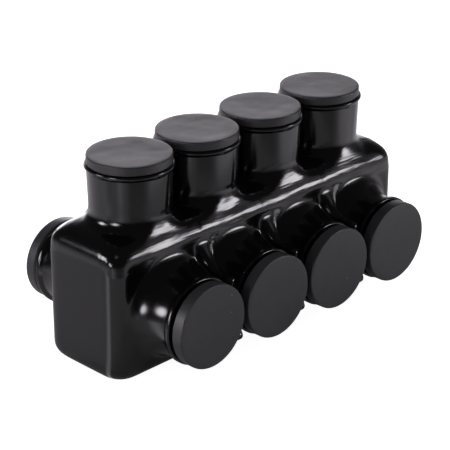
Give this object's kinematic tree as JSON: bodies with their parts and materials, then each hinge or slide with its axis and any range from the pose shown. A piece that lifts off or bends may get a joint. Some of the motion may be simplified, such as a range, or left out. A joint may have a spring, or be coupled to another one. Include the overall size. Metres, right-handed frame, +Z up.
{
  "type": "insulated multi-tap connector",
  "caption": "Black insulated tap connector: a drilled metal block in a moulded jacket, with set screws under capped chimneys and capped cable collars on both long sides.",
  "frame": {"origin": "middle of the base of the jacket", "axes": "+X along the row of ports, -Y towards the front collars, +Z up through the screw chimneys"},
  "size_m": [0.1234, 0.0686, 0.0643],
  "materials": {
    "block_aluminium": "satin",
    "screw_aluminium": "satin",
    "jacket_plastisol": "gloss",
    "cap_plastic": "satin"
  },
  "bodies": {
    "connector": {"connector_block": "block_aluminium", "insulating_jacket": "jacket_plastisol"},
    "set_screw_1": {"set_screw_1": "screw_aluminium"},
    "set_screw_2": {"set_screw_2": "screw_aluminium"},
    "set_screw_3": {"set_screw_3": "screw_aluminium"},
    "set_screw_4": {"set_screw_4": "screw_aluminium"},
    "screw_port_cap_1": {"screw_port_cap_1": "cap_plastic"},
    "screw_port_cap_2": {"screw_port_cap_2": "cap_plastic"},
    "screw_port_cap_3": {"screw_port_cap_3": "cap_plastic"},
    "screw_port_cap_4": {"screw_port_cap_4": "cap_plastic"},
    "front_port_cap_1": {"front_port_cap_1": "cap_plastic"},
    "front_port_cap_2": {"front_port_cap_2": "cap_plastic"},
    "front_port_cap_3": {"front_port_cap_3": "cap_plastic"},
    "front_port_cap_4": {"front_port_cap_4": "cap_plastic"},
    "rear_port_cap_1": {"rear_port_cap_1": "cap_plastic"},
    "rear_port_cap_2": {"rear_port_cap_2": "cap_plastic"},
    "rear_port_cap_3": {"rear_port_cap_3": "cap_plastic"},
    "rear_port_cap_4": {"rear_port_cap_4": "cap_plastic"}
  },
  "joints": [
    {"name": "set_screw_1_travel", "type": "slide", "parent": "connector", "child": "set_screw_1", "axis": [0, 0, 1], "range_m": [-0.0145, 0]},
    {"name": "set_screw_2_travel", "type": "slide", "parent": "connector", "child": "set_screw_2", "axis": [0, 0, 1], "range_m": [-0.0145, 0]},
    {"name": "set_screw_3_travel", "type": "slide", "parent": "connector", "child": "set_screw_3", "axis": [0, 0, 1], "range_m": [-0.0145, 0]},
    {"name": "set_screw_4_travel", "type": "slide", "parent": "connector", "child": "set_screw_4", "axis": [0, 0, 1], "range_m": [-0.0145, 0]},
    {"name": "screw_port_cap_1_pull", "type": "slide", "parent": "connector", "child": "screw_port_cap_1", "axis": [0, 0, 1], "range_m": [0, 0.06]},
    {"name": "screw_port_cap_2_pull", "type": "slide", "parent": "connector", "child": "screw_port_cap_2", "axis": [0, 0, 1], "range_m": [0, 0.06]},
    {"name": "screw_port_cap_3_pull", "type": "slide", "parent": "connector", "child": "screw_port_cap_3", "axis": [0, 0, 1], "range_m": [0, 0.06]},
    {"name": "screw_port_cap_4_pull", "type": "slide", "parent": "connector", "child": "screw_port_cap_4", "axis": [0, 0, 1], "range_m": [0, 0.06]},
    {"name": "front_port_cap_1_pull", "type": "slide", "parent": "connector", "child": "front_port_cap_1", "axis": [0, -1, 0], "range_m": [0, 0.06]},
    {"name": "front_port_cap_2_pull", "type": "slide", "parent": "connector", "child": "front_port_cap_2", "axis": [0, -1, 0], "range_m": [0, 0.06]},
    {"name": "front_port_cap_3_pull", "type": "slide", "parent": "connector", "child": "front_port_cap_3", "axis": [0, -1, 0], "range_m": [0, 0.06]},
    {"name": "front_port_cap_4_pull", "type": "slide", "parent": "connector", "child": "front_port_cap_4", "axis": [0, -1, 0], "range_m": [0, 0.06]},
    {"name": "rear_port_cap_1_pull", "type": "slide", "parent": "connector", "child": "rear_port_cap_1", "axis": [0, 1, 0], "range_m": [0, 0.06]},
    {"name": "rear_port_cap_2_pull", "type": "slide", "parent": "connector", "child": "rear_port_cap_2", "axis": [0, 1, 0], "range_m": [0, 0.06]},
    {"name": "rear_port_cap_3_pull", "type": "slide", "parent": "connector", "child": "rear_port_cap_3", "axis": [0, 1, 0], "range_m": [0, 0.06]},
    {"name": "rear_port_cap_4_pull", "type": "slide", "parent": "connector", "child": "rear_port_cap_4", "axis": [0, 1, 0], "range_m": [0, 0.06]}
  ]
}
